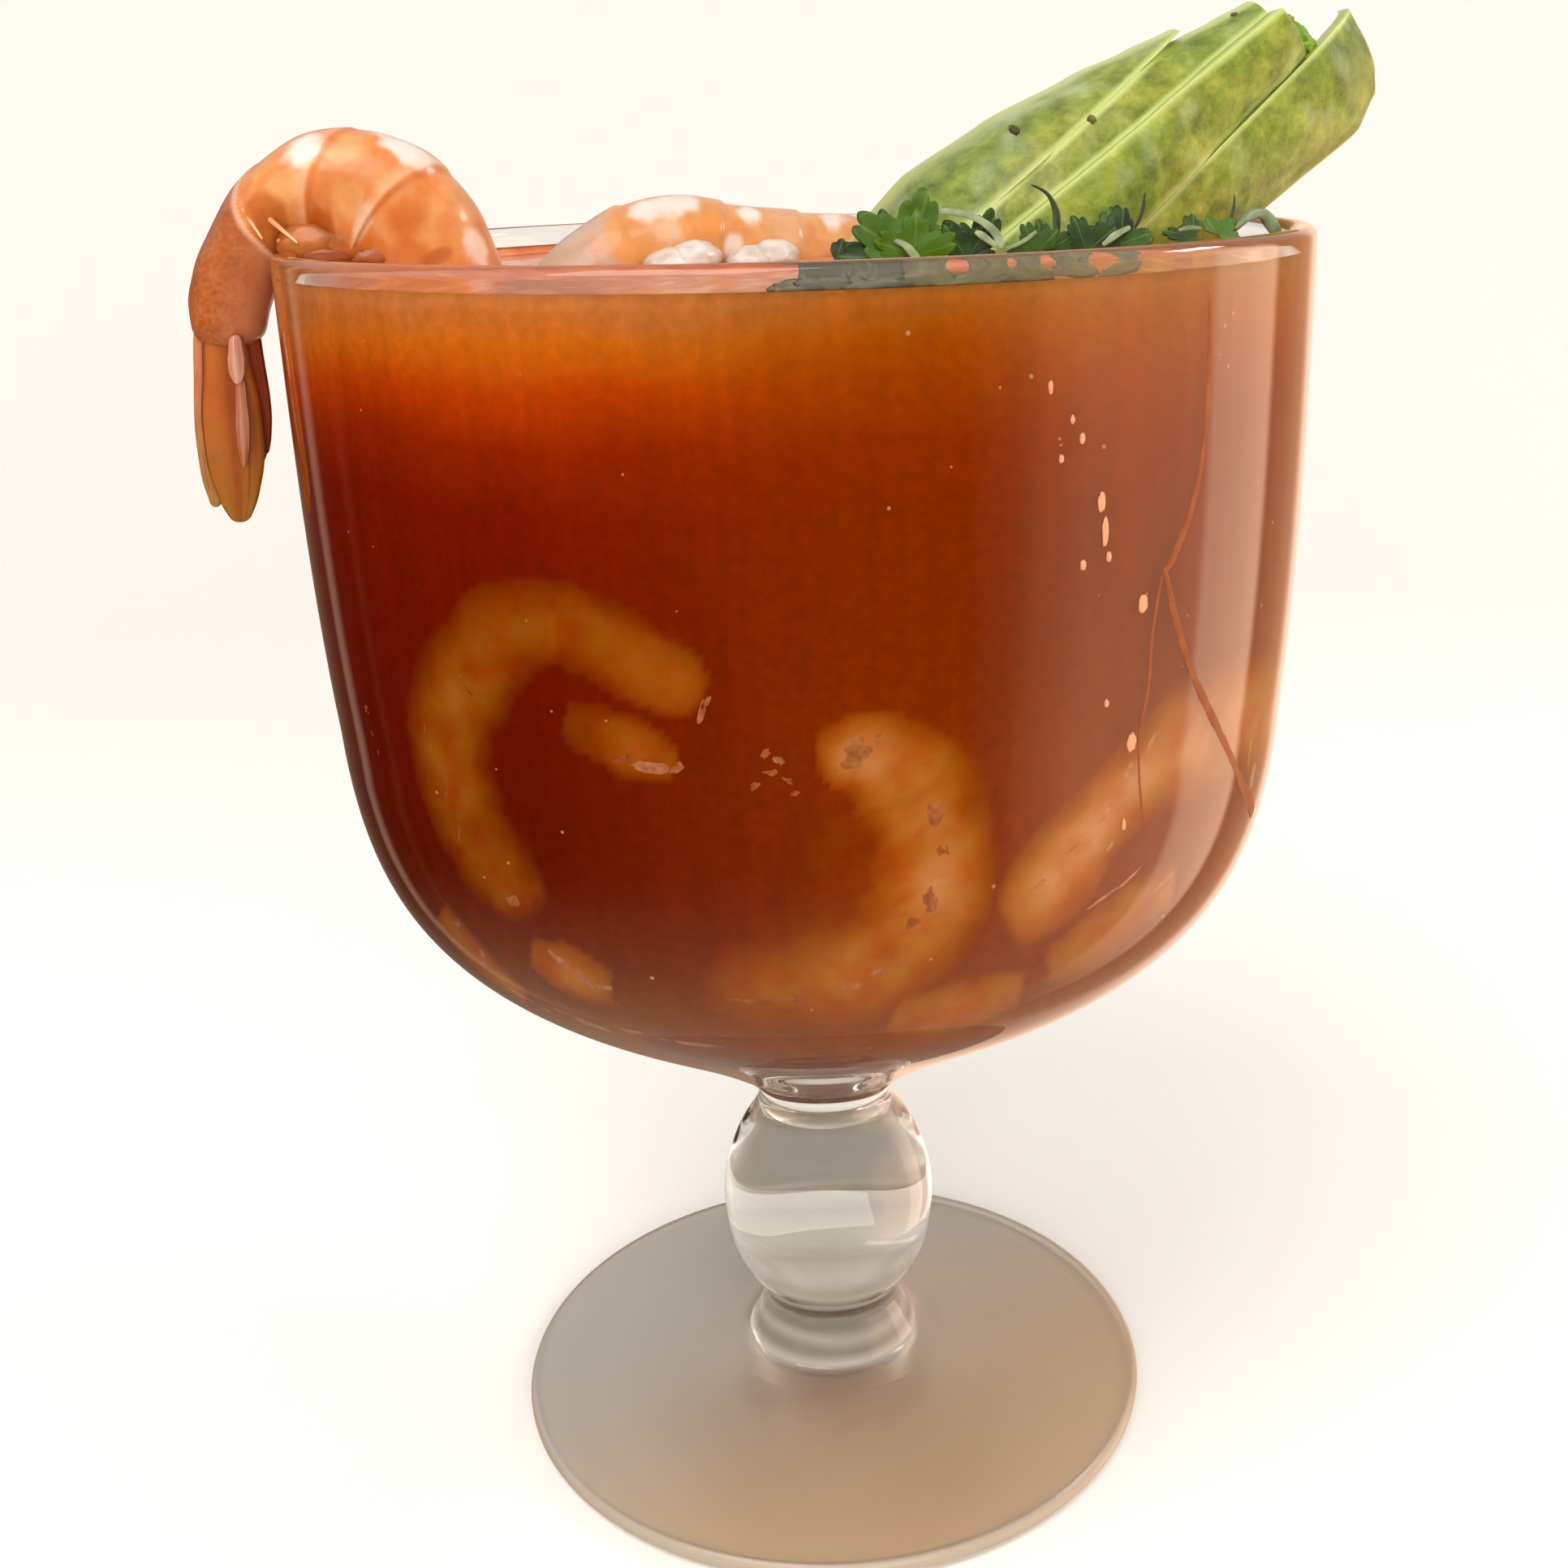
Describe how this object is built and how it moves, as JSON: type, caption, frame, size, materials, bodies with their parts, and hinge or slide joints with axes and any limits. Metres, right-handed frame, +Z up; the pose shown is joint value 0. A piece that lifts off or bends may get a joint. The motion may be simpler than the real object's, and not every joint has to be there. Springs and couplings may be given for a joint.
{
  "type": "shrimp cocktail",
  "caption": "Shrimp cocktail in a clear footed goblet: tomato sauce nearly to the rim, a shrimp hooked over the rim, another arched out of the sauce and a fan of avocado slices.",
  "frame": {"origin": "centre of the flat underside of the goblet's foot", "axes": "+Z up along the glass's axis; -Y is the front, where the sauce is open; +X is the side the avocado slices lean over; -X is the side of the shrimp hooked over the rim"},
  "size_m": [0.1402, 0.115, 0.1759],
  "materials": {
    "clear_glass": "clear, smooth and glossy",
    "cocktail_sauce": "wet, glossy tomato sauce",
    "cooked_shrimp": "moist, banded orange and white",
    "avocado_flesh": "moist, satin, green to yellow"
  },
  "bodies": {
    "root": {"goblet": "clear_glass", "sauce": "cocktail_sauce", "shrimp_rim": "cooked_shrimp", "shrimp_middle": "cooked_shrimp", "avocado_slice_1": "avocado_flesh", "avocado_slice_2": "avocado_flesh", "avocado_slice_3": "avocado_flesh", "avocado_slice_4": "avocado_flesh"}
  },
  "joints": []
}
